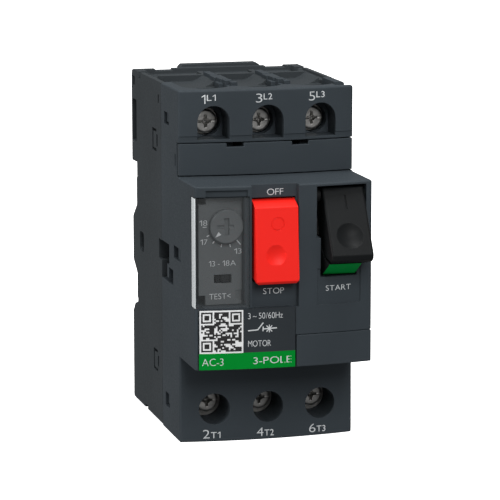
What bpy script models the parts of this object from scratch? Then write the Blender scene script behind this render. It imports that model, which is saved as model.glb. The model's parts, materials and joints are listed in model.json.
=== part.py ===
"""Three-pole motor protection breaker, 45 mm wide, for a 35 mm DIN rail.

Frame: X to the right seen from the front, +Y back towards the rail, +Z up.
The origin is the centre of the flat face that sits on the rail.
Lengths below are in millimetres; the helpers turn them into Blender's metres.
"""
import math

import bmesh
import bpy
from mathutils import Matrix, Vector

MM = 0.001
ASSEMBLY = "motor_protection_breaker"

# --- Driving dimensions (mm) -------------------------------------------------
HALF_WIDTH = 22.5          # 45 mm module
HALF_HEIGHT = 44.5         # 89 mm tall
FOOT_Y = 5.3               # rear feet, which reach past the rail's front flanges
SPLIT_Y = -28.8            # parting plane between rear base and front housing
BLOCK_Y = -47.6            # front corners of the two terminal blocks
MID_Y = -64.3              # front corners of the operating block
MID_TOP = 22.95            # the operating block stands in a 45 mm panel window
MID_BOTTOM = -22.5
CROWN = 2.0                # bow of every front face over the full width
GAP = 0.3                  # clearance between neighbouring pieces

POLE_PITCH = 13.75
POLES = (-POLE_PITCH, 0.0, POLE_PITCH)
POCKET_HALF = 6.1          # half width of one pole's chamber
INNER_X = 19.85            # inner face of the side walls
BASE_BOTTOM = -44.05       # the base ends a little above the front housing
BASE_TOP = 44.4
REAR_WALL = 3.0

SEAT_HALF = 16.2           # half height of the flat rail seat
HOOK_REACH = 16.5          # how far the two rail jaws reach in
RAIL_LIP_Y = 1.6           # front face of both jaws, behind the 1 mm flange

LATCH_PEG = (-36.4, -33.2)  # peg on the base that the latch spring pushes against
LATCH_ROOM_TOP = -25.0

TERMINAL_Z = 35.7          # height of the terminal screws, above and below
SCREW_HEAD_Y = -40.4
SCREW_HEAD_R = 2.97
SCREW_HEAD_H = 2.2
SHANK_R = 1.95
SHANK_END_Y = -26.0
WELL_R = 4.0               # screwdriver recess over an upper screw
WELL_Z = 36.5
HOLE_R = 3.95              # round screwdriver hole under the operating block
HOLE_Z = -36.1
ROOM_FRONT = -38.0         # front wall of the terminal rooms, just ahead of the clamps
ENTRY_Z = 41.5             # inner end of the wire entries, above and below
SCALLOP_Y = -39.0          # centre of the round front of a wire entry

PANEL_BOTTOM = 23.25       # blank panel under the upper terminals
PANEL_TOP = 31.2
PANEL_T = 1.6
AUX_LEFT = 2.7             # blank cover of the auxiliary contact bay
AUX_TOP = -14.5

WINDOW = (-9.2, -7.1, 20.1)      # right edge, bottom and top of the clear window
WINDOW_T = 1.0
WINDOW_HINGE = (-21.9, -61.1)    # x, y of its upright hinge line
HINGE_KNUCKLE_R = 0.6            # round back edge of the window's side flange
FLANGE_X = -21.7                 # inner face of the window's side flange

DIAL = (-14.2, 12.7)       # x, z of the current setting dial
DIAL_R = 4.25
PLATE_Y = (-61.9, -60.9)   # scale plate under the window
TEST = (-15.3, -13.5, -1.25, 0.35)   # test slider: x0, x1, z0, z1

STOP_X = (-8.0, 2.85)
STOP_PIVOT = (-61.3, 17.0)       # y, z
CHANNEL_X = (-8.6, 3.25)
CHANNEL_FLOOR = -64.2
START_X = (9.8, 20.5)
SKIRT_X = (9.7, 18.2)
START_PIVOT = (-61.5, 19.4)
PIN_R = 0.9
BORE_R = 1.25

CARRIER_Z = (5.5, 11.0)
TRIP_AXIS = (-24.8, -8.0)        # y, z of the common trip bar
TOGGLE_AXIS = (-38.0, -9.0)
CONTACT_FACE_Y = -12.3           # fixed contacts
BRIDGE_Y = (-17.0, -16.0)        # moving bridges, 3.1 mm open

ARC_STEPS = 14

# --- Materials: colour, roughness, metallic --------------------------------------
MATERIALS = {
    "case_grey": ((0.055, 0.062, 0.066), 0.55, 0.0),
    "case_front": ((0.037, 0.045, 0.051), 0.50, 0.0),
    "inner_plastic": ((0.020, 0.021, 0.022), 0.60, 0.0),
    "start_black": ((0.018, 0.019, 0.020), 0.45, 0.0),
    "skirt_green": ((0.004, 0.130, 0.024), 0.45, 0.0),
    "stop_red": ((0.800, 0.030, 0.020), 0.40, 0.0),
    "clear_cover": ((0.780, 0.800, 0.810), 0.10, 0.0),
    "scale_plate": ((0.090, 0.098, 0.102), 0.50, 0.0),
    "label_film": ((0.600, 0.620, 0.620), 0.45, 0.0),
    "zinc_steel": ((0.420, 0.410, 0.390), 0.35, 1.0),
    "spring_steel": ((0.350, 0.350, 0.350), 0.30, 1.0),
    "copper": ((0.720, 0.370, 0.200), 0.30, 1.0),
    "coil_winding": ((0.550, 0.230, 0.110), 0.40, 1.0),
    "arc_steel": ((0.250, 0.250, 0.260), 0.45, 1.0),
}


# --- Scene, materials and mesh helpers ---------------------------------------------
def clear_scene():
    """Remove whatever the file starts with."""
    for obj in list(bpy.data.objects):
        bpy.data.objects.remove(obj, do_unlink=True)


def new_collection(name):
    """A collection linked to the scene."""
    collection = bpy.data.collections.new(name)
    bpy.context.scene.collection.children.link(collection)
    return collection


clear_scene()
PARTS = new_collection(ASSEMBLY)
CUTTERS = new_collection("cutters")
SHADERS = {}


def shader(name):
    """The Principled material of a part, made once."""
    if name in SHADERS:
        return SHADERS[name]
    colour, roughness, metallic = MATERIALS[name]
    material = bpy.data.materials.new(name)
    material.use_nodes = True
    principled = material.node_tree.nodes["Principled BSDF"]
    principled.inputs["Base Color"].default_value = (*colour, 1.0)
    principled.inputs["Roughness"].default_value = roughness
    principled.inputs["Metallic"].default_value = metallic
    SHADERS[name] = material
    return material


def add_object(name, mesh, collection=PARTS):
    """Link a mesh as an object."""
    obj = bpy.data.objects.new(name, mesh)
    collection.objects.link(obj)
    return obj


def mesh_from(name, parts):
    """One mesh out of closed, separate pieces, each a function that fills a bmesh."""
    bm = bmesh.new()
    for part in parts:
        part(bm)
    mesh = bpy.data.meshes.new(name)
    bm.to_mesh(mesh)
    bm.free()
    return mesh


def box(x, y, z):
    """A block between the limits (low, high) on each axis."""
    size = Vector((x[1] - x[0], y[1] - y[0], z[1] - z[0])) * MM
    centre = Vector((x[1] + x[0], y[1] + y[0], z[1] + z[0])) * (MM / 2)

    def fill(bm):
        placed = Matrix.Translation(centre) @ Matrix.Diagonal((*size, 1.0))
        bmesh.ops.create_cube(bm, size=1.0, matrix=placed)
    return fill


def rod(axis, centre, radius, span, segments=24):
    """A cylinder along an axis: centre holds its other two coordinates."""
    turn = {"X": Matrix.Rotation(math.pi / 2, 4, "Y"),
            "Y": Matrix.Rotation(math.pi / 2, 4, "X"),
            "Z": Matrix.Identity(4)}[axis]
    middle = (span[0] + span[1]) / 2
    place = {"X": (middle, *centre), "Y": (centre[0], middle, centre[1]), "Z": (*centre, middle)}[axis]

    def fill(bm):
        placed = Matrix.Translation(Vector(place) * MM) @ turn
        bmesh.ops.create_cone(bm, cap_ends=True, segments=segments, radius1=radius * MM,
                              radius2=radius * MM, depth=(span[1] - span[0]) * MM, matrix=placed)
    return fill


def outline_mesh(name, points, half_thickness):
    """A flat outline as a filled 2D curve, turned into a welded mesh."""
    curve = bpy.data.curves.new(name, "CURVE")
    curve.dimensions = "2D"
    curve.fill_mode = "BOTH"
    curve.extrude = half_thickness * MM
    spline = curve.splines.new("POLY")
    spline.points.add(len(points) - 1)
    spline.use_cyclic_u = True
    for point, (u, v) in zip(spline.points, points):
        point.co = (u * MM, v * MM, 0.0, 1.0)
    holder = add_object(name + "_outline", curve)
    graph = bpy.context.evaluated_depsgraph_get()
    mesh = bpy.data.meshes.new_from_object(holder.evaluated_get(graph))
    bpy.data.objects.remove(holder, do_unlink=True)
    bpy.data.curves.remove(curve)
    return mesh


# Columns say where an outline's own u, v and thickness go: a side profile (Y, Z) along X,
# a front outline (X, Z) along -Y, and a plan (X, Y) along Z.
PLANES = {
    "X": Matrix(((0, 0, 1, 0), (1, 0, 0, 0), (0, 1, 0, 0), (0, 0, 0, 1))),
    "Y": Matrix(((1, 0, 0, 0), (0, 0, -1, 0), (0, 1, 0, 0), (0, 0, 0, 1))),
    "Z": Matrix.Identity(4),
}


def prism(points, axis, span):
    """An outline pushed along an axis between two stations."""
    def fill(bm):
        mesh = outline_mesh("prism", points, (span[1] - span[0]) / 2)
        shift = Vector((0.0, 0.0, 0.0))
        shift["XYZ".index(axis)] = (span[0] + span[1]) / 2 * MM
        mesh.transform(Matrix.Translation(shift) @ PLANES[axis])
        piece = bmesh.new()
        piece.from_mesh(mesh)
        bmesh.ops.remove_doubles(piece, verts=piece.verts, dist=0.001 * MM)
        bmesh.ops.recalc_face_normals(piece, faces=piece.faces)
        piece.to_mesh(mesh)
        piece.free()
        bm.from_mesh(mesh)
        bpy.data.meshes.remove(mesh)
    return fill


def solid(name, material, *pieces):
    """A part: its first piece, with the others united to it."""
    obj = add_object(name, mesh_from(name, pieces[:1]))
    obj.data.materials.append(shader(material))
    for index, piece in enumerate(pieces[1:]):
        combine(obj, "UNION", f"{name}_add{index}", [piece])
    return obj


def combine(obj, operation, name, pieces):
    """Cut away, or add, a set of closed pieces that don't touch each other."""
    tool = add_object(name, mesh_from(name, pieces), CUTTERS)
    tool.hide_render = True
    tool.display_type = "WIRE"
    step = obj.modifiers.new(name, "BOOLEAN")
    step.operation = operation
    step.solver = "EXACT"
    step.object = tool


def cut(obj, name, *pieces):
    """Remove pieces from a part."""
    combine(obj, "DIFFERENCE", f"{obj.name}_{name}", pieces)


def put_origin(obj, x, y, z):
    """Move a part's origin onto its joint's axis, leaving its shape where it is."""
    point = Vector((x, y, z)) * MM
    obj.data.transform(Matrix.Translation(-point))
    obj.location = point
    bpy.context.view_layer.update()


def arc(centre, radius, start, end, steps=ARC_STEPS):
    """Points along an arc, angles in degrees."""
    angles = [math.radians(start + (end - start) * i / steps) for i in range(steps + 1)]
    return [(centre[0] + radius * math.cos(a), centre[1] + radius * math.sin(a)) for a in angles]


def crown_y(corner_y, x):
    """Y of a bowed front face at x, where the face's corners are at corner_y."""
    radius = (HALF_WIDTH ** 2 + CROWN ** 2) / (2 * CROWN)
    return corner_y - math.sqrt(radius ** 2 - x ** 2) + (radius - CROWN)


def bowed(corner_y, x, back_y):
    """Plan outline between x limits: straight back, bowed front."""
    span = x[1] - x[0]
    front = [x[1] - span * i / ARC_STEPS for i in range(ARC_STEPS + 1)]
    return [(x[0], back_y), (x[1], back_y)] + [(px, crown_y(corner_y, px)) for px in front]


def before(corner_y, x, depth=0.0):
    """Plan outline of the room in front of a bowed face, set back by depth."""
    far = -80.0
    span = x[1] - x[0]
    edge = [x[0] + span * i / ARC_STEPS for i in range(ARC_STEPS + 1)]
    return [(px, crown_y(corner_y, px) + depth) for px in edge] + [(x[1], far), (x[0], far)]


def both_sides(x, y, z):
    """The same block on the left and on the right."""
    return box(x, y, z), box((-x[1], -x[0]), y, z)


def at_poles(half, y, z):
    """The same block in each pole."""
    return [box((pole - half, pole + half), y, z) for pole in POLES]


# --- Casing ---------------------------------------------------------------------------
def rear_base():
    """Moulded base with the rail recess, terminal chambers and pole partitions."""
    profile = [(SPLIT_Y + GAP / 2, BASE_BOTTOM), (FOOT_Y, BASE_BOTTOM), (FOOT_Y, -20.4), (3.0, -18.2),
               (-0.5, -17.2), (-0.5, -SEAT_HALF), (0.0, -SEAT_HALF), (0.0, SEAT_HALF),
               (-0.5, SEAT_HALF), (-0.5, 20.3), (FOOT_Y, 20.0)]
    profile += arc((FOOT_Y - 1.5, BASE_TOP - 1.5), 1.5, 0, 90, 5)
    profile += [(SPLIT_Y + GAP / 2, BASE_TOP)]
    cheek = [(-2.0, -9.8), (0.0, -9.8), (5.0, -6.5), (5.0, 5.2), (0.0, 9.1), (-2.0, 9.1)]
    raised = [(-10.2, 43.0), (12.2, 43.0), (12.2, 44.2), (10.6, 45.35), (-9.4, 45.35), (-10.2, 44.6)]
    base = solid(
        "rear_base", "case_grey",
        prism(profile, "X", (-HALF_WIDTH, HALF_WIDTH)),
        prism(cheek, "X", (-22.45, -19.5)),
        prism(cheek, "X", (19.5, 22.45)),
        box((-15.0, 15.0), (RAIL_LIP_Y, 5.0), (HOOK_REACH, 21.0)),
        prism(raised, "Y", (2.0, 5.25)))
    open_front = SPLIT_Y - 1.0
    cut(base, "chambers", *at_poles(POCKET_HALF, (open_front, -REAR_WALL), (-23.2, 23.4)))
    cut(base, "terminal_rooms",
        *at_poles(POCKET_HALF, (open_front, -6.0), (25.0, 39.2)),
        *at_poles(POCKET_HALF, (open_front, -6.0), (-39.0, -24.8)))
    cut(base, "wire_pockets",
        *at_poles(POCKET_HALF, (open_front, -20.4), (38.0, 47.0)),
        *at_poles(POCKET_HALF, (open_front, -20.4), (-47.0, -38.0)))
    cut(base, "rear_troughs",
        *at_poles(POCKET_HALF, (-18.9, -5.5), (40.8, 47.0)),
        *at_poles(POCKET_HALF, (-18.9, -5.5), (-47.0, -40.6)))
    cut(base, "rear_gutter", box((-20.0, 20.0), (-6.5, 1.6), (41.4, 47.0)),
        box((-20.0, 20.0), (-6.5, -1.2), (-47.0, -41.2)))
    cut(base, "bar_slots",
        *at_poles(4.2, (-13.2, -9.0), (22.0, 26.0)),
        *at_poles(4.2, (-13.2, -9.0), (-26.0, -22.0)))
    cut(base, "partition_window", box((-19.4, 19.4), (open_front, -17.0), (-10.4, 20.5)))
    cut(base, "latch_channel", box((-7.4, 7.4), (0.4, 7.0), (-47.0, -16.0)))
    combine(base, "UNION", "rear_base_latch_peg", [box((-2.3, 2.3), (-1.0, 3.3), LATCH_PEG)])
    cut(base, "top_dips", box((-16.9, -12.1), (0.5, 7.0), (43.8, 47.0)),
        box((13.0, 18.5), (0.5, 7.0), (43.8, 47.0)))
    cut(base, "corner_notches", *both_sides((19.0, 24.0), (-5.2, -2.7), (42.9, 47.0)))
    cut(base, "rear_window", *both_sides((16.6, 19.4), (0.5, 7.0), (40.9, 42.5)))
    cut(base, "bottom_notches", *both_sides((17.0, 24.0), (-11.4, -8.4), (-47.0, -43.2)))
    side = (21.4, 24.0)
    cut(base, "side_recesses",
        *both_sides(side, (-24.7, -18.7), (26.1, 31.8)),
        *both_sides(side, (-24.7, -18.7), (-31.4, -25.8)),
        *both_sides(side, (-0.3, 7.0), (25.6, 36.6)),
        *both_sides(side, (-26.2, -25.0), (38.8, 41.0)),
        *both_sides(side, (-8.0, -3.2), (-2.6, 2.2)))
    cut(base, "lever_window", *both_sides((18.0, 24.0), (open_front, -25.5), (-1.1, 4.0)))
    return base


def start_recess():
    """Front outline (X, Z) of the opening that the START button works in."""
    return [(8.9, -0.5), (18.5, -0.5), (18.5, 2.4), (20.9, 2.4), (20.9, 22.3), (7.85, 22.3),
            (7.85, 9.4), (8.9, 9.4)]


def wire_entry(pole):
    """Plan outline of a wire entry: square at the back, round at the front."""
    low, high = pole - POCKET_HALF, pole + POCKET_HALF
    return [(low, SPLIT_Y + 1.0)] + arc((pole, SCALLOP_Y), POCKET_HALF, 180, 360) + [(high, SPLIT_Y + 1.0)]


def front_housing():
    """Moulded front housing: two terminal blocks and the operating block between them."""
    back = SPLIT_Y - GAP / 2
    full = (-HALF_WIDTH, HALF_WIDTH)
    wide = (-26.0, 26.0)
    housing = solid(
        "front_housing", "case_front",
        prism(bowed(MID_Y, full, back), "Z", (-HALF_HEIGHT, HALF_HEIGHT)))
    cut(housing, "upper_step", prism(before(BLOCK_Y, wide), "Z", (27.0, 60.0)))
    cut(housing, "panel_seat", prism(before(BLOCK_Y, wide, PANEL_T + GAP), "Z", (MID_TOP, PANEL_TOP + GAP)))
    cut(housing, "lower_step", prism(before(BLOCK_Y, wide), "Z", (-60.0, MID_BOTTOM)))
    cut(housing, "main_room", box((-INNER_X, INNER_X), (-50.0, SPLIT_Y + 1.0), (-20.8, 21.2)))
    cut(housing, "wire_entries",
        *[prism(wire_entry(pole), "Z", (ENTRY_Z, 47.0)) for pole in POLES],
        *[prism(wire_entry(pole), "Z", (-47.0, -ENTRY_Z)) for pole in POLES])
    cut(housing, "terminal_rooms",
        *at_poles(POCKET_HALF, (ROOM_FRONT, SPLIT_Y + 1.2), (24.6, ENTRY_Z + 0.2)),
        *at_poles(POCKET_HALF, (ROOM_FRONT, SPLIT_Y + 1.2), (-ENTRY_Z - 0.2, -24.2)))
    combine(housing, "UNION", "front_housing_posts", [
        box((-8.3, -5.4), (-36.4, -33.2), (41.0, 44.2)), box((-8.0, -5.7), (-32.0, -30.0), (41.0, 43.7)),
        box((5.4, 8.3), (-36.4, -33.2), (41.0, 44.2)), box((5.7, 8.0), (-32.0, -30.0), (41.0, 43.7))])
    cut(housing, "screw_wells", *[prism(
        [(pole + WELL_R, 33.0)] + arc((pole, WELL_Z), WELL_R, 0, 180, 16) + [(pole - WELL_R, 33.0)],
        "Y", (-52.0, ROOM_FRONT + 0.3)) for pole in POLES])
    cut(housing, "screw_holes", *[rod("Y", (pole, HOLE_Z), HOLE_R, (-52.0, ROOM_FRONT + 0.3), 32) for pole in POLES])
    cut(housing, "head_bores",
        *[rod("Y", (pole, TERMINAL_Z), SCREW_HEAD_R + 0.4, (-41.6, ROOM_FRONT + 0.3), 28) for pole in POLES])
    cut(housing, "aux_seat", prism(before(MID_Y, (2.4, 26.0), 1.9), "Z", (-24.0, AUX_TOP + GAP)))
    cut(housing, "label_seat", prism(before(MID_Y, (-21.8, 2.6), 0.6), "Z", (-24.0, -7.4 + GAP)))
    window = (WINDOW[1] - 0.2, WINDOW[2] + 0.2)
    cut(housing, "window_seat", prism(before(MID_Y, (-26.0, -9.0), WINDOW_T + 0.4), "Z", window))
    cut(housing, "flange_seat", box((-26.0, -21.2), (-72.0, -60.4), (window[0] + 0.01, window[1] - 0.01)))
    cut(housing, "dial_room", box((-20.7, -9.7), (-72.0, -49.0), (-6.9, 19.9)))
    cut(housing, "stop_channel", box(CHANNEL_X, (-80.0, CHANNEL_FLOOR), (-7.4, 30.0)))
    cut(housing, "stop_opening", box((-8.35, 3.1), (-66.0, -49.0), (-1.1, 19.7)))
    cut(housing, "start_recess", prism(start_recess(), "Y", (-80.0, -49.0)))
    cut(housing, "start_label", prism(before(MID_Y, (8.0, 19.4), 0.35), "Z", (-7.25, 1.7)))
    cut(housing, "pin_holes",
        rod("X", STOP_PIVOT, BORE_R, (-9.9, 4.6), 16),
        rod("X", START_PIVOT, BORE_R, (6.4, 21.9), 16),
        rod("Z", WINDOW_HINGE, 0.4, (-8.2, 21.2), 12))
    side = (21.3, 24.0)
    cut(housing, "side_recesses",
        *both_sides(side, (-37.4, -32.3), (34.5, 37.6)),
        *both_sides(side, (-36.6, -32.0), (-38.2, -34.6)),
        *both_sides(side, (-44.6, -43.2), (25.3, 28.3)),
        *both_sides(side, (-49.4, -42.0), (1.8, 5.0)))
    lever_slot = [(-28.0, 4.2), (-37.0, 4.2), (-37.0, -0.9), (-34.8, -0.9), (-34.8, -4.4), (-36.6, -4.4),
                  (-36.6, -1.6), (-41.2, -1.6), (-41.2, -5.4), (-28.0, -5.4)]
    cut(housing, "lever_windows", prism(lever_slot, "X", (-24.0, -18.0)), prism(lever_slot, "X", (18.0, 24.0)))
    return housing


def upper_blank_panel():
    """Snap-in panel under the upper terminals, with two screwdriver slots in its top edge."""
    plan = bowed(BLOCK_Y, (-22.4, 22.4), 0.0)[2:]
    plan += [(x, y + PANEL_T) for x, y in reversed(plan)]
    panel = solid("upper_blank_panel", "case_front", prism(plan, "Z", (PANEL_BOTTOM, PANEL_TOP)))
    cut(panel, "slots", box((-10.5, -6.2), (-55.0, -40.0), (30.2, 33.0)),
        box((6.2, 10.5), (-55.0, -40.0), (30.2, 33.0)))
    return panel


def aux_blank_cover():
    """Removable blank over the bay for a front-mounted auxiliary contact."""
    plan = [(x, y - 0.12) for x, y in bowed(MID_Y, (AUX_LEFT, 22.4), 0.0)[2:]]
    plan += [(x, y + 1.6) for x, y in reversed(plan)]
    return solid("aux_blank_cover", "case_front", prism(plan, "Z", (MID_BOTTOM, AUX_TOP)))


def nameplate():
    """Thin printed label, flush in its seat."""
    plan = bowed(MID_Y, (-21.5, 2.35), 0.0)[2:]
    plan += [(x, y + 0.3) for x, y in reversed(plan)]
    return solid("nameplate", "label_film", prism(plan, "Z", (-22.45, -7.4)))


# --- Setting window -------------------------------------------------------------------
def dial_plate():
    """Scale plate with a bore for the dial and a slot for the test slider."""
    plate = solid("dial_plate", "scale_plate", box((-20.4, -10.0), PLATE_Y, (-6.6, 19.6)))
    cut(plate, "openings", rod("Y", DIAL, 2.2, (-65.0, -58.0), 20),
        box((-17.1, -12.7), (-65.0, -58.0), (TEST[2] - GAP, TEST[3] + GAP)))
    return plate


def setting_dial():
    """Turned dial with a stem and a cross slot for a screwdriver."""
    profile = [(0.0, -63.4), (DIAL_R - 0.3, -63.4), (DIAL_R, -63.1), (DIAL_R, -62.2), (1.8, -62.2),
               (1.8, -55.0), (0.0, -55.0)]
    bm = bmesh.new()
    ring = [bm.verts.new((radius * MM, 0.0, -y * MM)) for radius, y in profile]
    for first, second in zip(ring, ring[1:]):
        bm.edges.new((first, second))
    mesh = bpy.data.meshes.new("setting_dial")
    bm.to_mesh(mesh)
    bm.free()
    dial = add_object("setting_dial", mesh)
    dial.data.materials.append(shader("scale_plate"))
    screw = dial.modifiers.new("turn", "SCREW")
    screw.axis = "Z"
    screw.steps = 32
    screw.render_steps = 32
    screw.use_merge_vertices = True
    screw.merge_threshold = 0.00001
    dial.rotation_euler = (math.pi / 2, 0.0, 0.0)
    dial.location = (DIAL[0] * MM, 0.0, DIAL[1] * MM)
    bpy.context.view_layer.update()
    cut(dial, "cross_slot", box((DIAL[0] - 0.5, DIAL[0] + 0.5), (-66.0, -62.8), (DIAL[1] - 2.0, DIAL[1] + 2.0)))
    cut(dial, "cross_bar", box((DIAL[0] - 2.3, DIAL[0] + 2.3), (-66.0, -62.9), (DIAL[1] - 0.4, DIAL[1] + 0.4)))
    return dial


def test_slider():
    """Slider that a screwdriver moves to the left to try the trip mechanism."""
    x0, x1, z0, z1 = TEST
    slider = solid("test_slider", "inner_plastic",
                   box((x0, x1), (-62.0, -60.0), (z0, z1)),
                   box((x0 - 1.0, x1 + 1.0), (-60.5, -59.7), (z0 - 0.6, z1 + 0.6)),
                   box((x0 + 0.3, x1 - 0.3), (-60.1, -29.3), (z0 + 0.3, z1 - 0.3)))
    return slider


def window_cover():
    """Clear hinged window: a bowed front and a side flange with two hinge nubs."""
    x_right, z0, z1 = WINDOW
    front = bowed(MID_Y, (-HALF_WIDTH, x_right), 0.0)[2:]
    inner = [(x, crown_y(MID_Y, x) + WINDOW_T) for x in (FLANGE_X, -18.6, -15.4, -12.3, x_right)]
    knuckle = arc(WINDOW_HINGE, HINGE_KNUCKLE_R, 180, 90, 5)
    plan = front + knuckle + [(FLANGE_X, WINDOW_HINGE[1] + 0.4)] + inner
    window = solid("window_cover", "clear_cover",
                   prism(plan, "Z", (z0, z1)),
                   rod("Z", WINDOW_HINGE, 0.28, (z0 - 0.7, z1 + 0.7), 10))
    put_origin(window, *WINDOW_HINGE, 0.0)
    return window


# --- Push-buttons ---------------------------------------------------------------------
def button_pin(name, pivot, x):
    """Steel pin that a button rocks on."""
    return solid(name, "zinc_steel", rod("X", pivot, PIN_R, x, 16))


def stop_button():
    """Red STOP rocker, hinged near its top edge."""
    profile = [(-63.5, 19.2), (-67.0, 17.6), (-67.4, 10.0), (-68.3, -0.6), (-67.7, -1.35), (-66.4, -1.2),
               (-66.0, -0.3), (-59.8, -0.3), (-59.5, 19.3)]
    button = solid("stop_button", "stop_red", prism(profile, "X", STOP_X))
    put_origin(button, 0.0, *STOP_PIVOT)
    cut(button, "bore", rod("X", STOP_PIVOT, BORE_R, (-12.0, 8.0), 16))
    return button


def start_button():
    """Black START rocker, out when the breaker is off."""
    profile = [(-63.4, 21.4), (-72.85, 5.95), (-72.6, 4.6), (-71.4, 3.8), (-66.5, 4.6), (-60.2, 9.5), (-59.0, 21.4)]
    button = solid("start_button", "start_black", prism(profile, "X", START_X))
    put_origin(button, 0.0, *START_PIVOT)
    cut(button, "bore", rod("X", START_PIVOT, BORE_R, (6.0, 24.0), 16))
    return button


def start_skirt():
    """Green skirt under the START rocker, seen only while it is out."""
    profile = [(-70.4, 3.45), (-64.3, -0.05), (-61.5, -0.05), (-60.0, 9.1), (-66.3, 4.2)]
    skirt = solid("start_skirt", "skirt_green", prism(profile, "X", SKIRT_X))
    put_origin(skirt, 0.0, *START_PIVOT)
    return skirt


def coil_spring(name, centre, span, axis, turns, radius, wire):
    """Compression spring: a helix of wire between two stations along Y or Z."""
    per_turn = 10
    count = turns * per_turn
    low, high = span[0] + wire, span[1] - wire
    curve = bpy.data.curves.new(name, "CURVE")
    curve.dimensions = "3D"
    curve.bevel_depth = wire / 2 * MM
    curve.bevel_resolution = 0
    curve.render_resolution_u = 0
    curve.use_fill_caps = True
    spline = curve.splines.new("POLY")
    spline.points.add(count)
    for i, point in enumerate(spline.points):
        angle = 2 * math.pi * i / per_turn
        along = low + (high - low) * i / count
        across, up = radius * math.cos(angle), radius * math.sin(angle)
        place = (centre[0] + across, along, centre[1] + up) if axis == "Y" else \
                (centre[0] + across, centre[1] + up, along)
        point.co = (*(Vector(place) * MM), 1.0)
    spring = add_object(name, curve)
    spring.data.materials.append(shader("spring_steel"))
    return spring


# --- Switching mechanism --------------------------------------------------------------
def mechanism_frame():
    """Bent steel plate that carries the springs and the toggle pin."""
    y, z = TOGGLE_AXIS
    frame = solid("mechanism_frame", "zinc_steel",
                  box((-7.5, 18.5), (-47.0, -46.0), (-13.0, 17.0)),
                  box((4.0, 5.0), (-46.5, -35.0), (-12.8, -5.0)),
                  box((10.8, 11.8), (-46.5, -35.0), (-12.8, -5.0)))
    cut(frame, "pin_bores", rod("X", (y, z), 1.35, (2.0, 14.0), 16))
    cut(frame, "link_window", box((11.6, 14.8), (-50.0, -44.0), (0.0, 3.6)))
    return frame


def toggle_lever():
    """Bell crank between the START button's link and the contact carrier."""
    profile = [(-40.6, -11.6), (-35.6, -11.6), (-28.4, 7.2), (-28.4, 9.2), (-31.5, 9.2)]
    lever = solid("toggle_lever", "inner_plastic", prism(profile, "X", (5.8, 10.0)))
    put_origin(lever, 0.0, *TOGGLE_AXIS)
    cut(lever, "bore", rod("X", TOGGLE_AXIS, 1.35, (2.0, 14.0), 16))
    return lever


def drive_link():
    """Push rod behind the START button."""
    return solid("drive_link", "inner_plastic", box((12.0, 14.4), (-58.4, -41.5), (0.5, 3.1)))


def contact_carrier():
    """Insulating beam that moves the three contact bridges together."""
    return solid("contact_carrier", "inner_plastic",
                 box((-19.0, 19.0), (-27.5, -24.5), CARRIER_Z),
                 *[box((pole - 1.4, pole + 1.4), (-24.7, BRIDGE_Y[0] - 0.4), (6.2, 10.2)) for pole in POLES])


def trip_bar():
    """Common bar that any pole's release turns."""
    y, z = TRIP_AXIS
    bar = solid("trip_bar", "inner_plastic",
                rod("X", TRIP_AXIS, 1.1, (-19.0, 19.0), 12),
                *[box((pole - 1.0, pole + 1.0), (y - 0.4, y + 0.4), (z - 7.5, z)) for pole in POLES],
                box((-18.6, -17.0), (y - 0.4, y + 0.4), (z, z + 9.5)))
    put_origin(bar, 0.0, y, z)
    return bar


# --- One pole -------------------------------------------------------------------------
def moving_contact(name, pole):
    """Contact bridge with a button at each end."""
    face = (BRIDGE_Y[1] - 0.1, BRIDGE_Y[1] + 0.6)
    return solid(name, "copper", box((pole - 2.2, pole + 2.2), BRIDGE_Y, (0.6, 15.8)),
                 box((pole - 1.7, pole + 1.7), face, (12.8, 15.5)),
                 box((pole - 1.7, pole + 1.7), face, (0.9, 3.6)))


def line_bar(name, pole):
    """Copper bar from the upper terminal to the upper fixed contact."""
    bar = solid(name, "copper",
                box((pole - 3.3, pole + 3.3), (-34.0, -33.0), (29.6, 40.8)),
                box((pole - 3.1, pole + 3.1), (-33.9, -10.0), (29.7, 30.7)),
                box((pole - 2.9, pole + 2.9), (-11.0, -10.1), (12.0, 30.5)),
                box((pole - 1.9, pole + 1.9), (CONTACT_FACE_Y, -10.8), (12.5, 15.6)))
    cut(bar, "hole", rod("Y", (pole, TERMINAL_Z), 2.4, (-36.0, -31.0), 20))
    return bar


def load_bar(name, pole):
    """Copper bar from the lower terminal up to the overload release."""
    bar = solid(name, "copper",
                box((pole - 3.3, pole + 3.3), (-34.0, -33.0), (-40.8, -29.6)),
                box((pole - 3.1, pole + 3.1), (-33.9, -10.0), (-30.7, -29.7)),
                box((pole - 2.9, pole + 2.9), (-11.0, -10.1), (-30.5, -16.5)))
    cut(bar, "hole", rod("Y", (pole, -TERMINAL_Z), 2.4, (-36.0, -31.0), 20))
    return bar


def magnet_coil(name, pole):
    """Short-circuit release: a winding with the lower fixed contact on a tab."""
    ring = solid(name, "coil_winding", rod("Z", (pole, -8.2), 4.4, (-14.0, -6.0), 24),
                 box((pole - 2.2, pole + 2.2), (CONTACT_FACE_Y, -11.3), (-6.8, 5.0)))
    cut(ring, "core", rod("Z", (pole, -8.2), 1.8, (-16.0, -4.0), 16))
    return ring


def bimetal_strip(name, pole):
    """Overload release: a bimetal blade on a bent foot."""
    return solid(name, "zinc_steel", box((pole - 2.2, pole + 2.2), (-21.5, -20.7), (-22.6, -9.8)),
                 box((pole - 2.0, pole + 2.0), (-21.4, -12.2), (-22.5, -21.6)))


def arc_chute(name, pole):
    """Stack of splitter plates between two cheeks."""
    plates = [box((pole - 5.2, pole + 5.2), (-20.3, -13.1), (z, z + 0.7)) for z in (16.9, 18.6, 20.3, 22.0)]
    cheeks = [box((pole - 5.4, pole - 4.5), (-20.4, -13.0), (16.8, 22.8)),
              box((pole + 4.5, pole + 5.4), (-20.4, -13.0), (16.8, 22.8))]
    return solid(name, "arc_steel", plates[0], *plates[1:], *cheeks)


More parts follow.
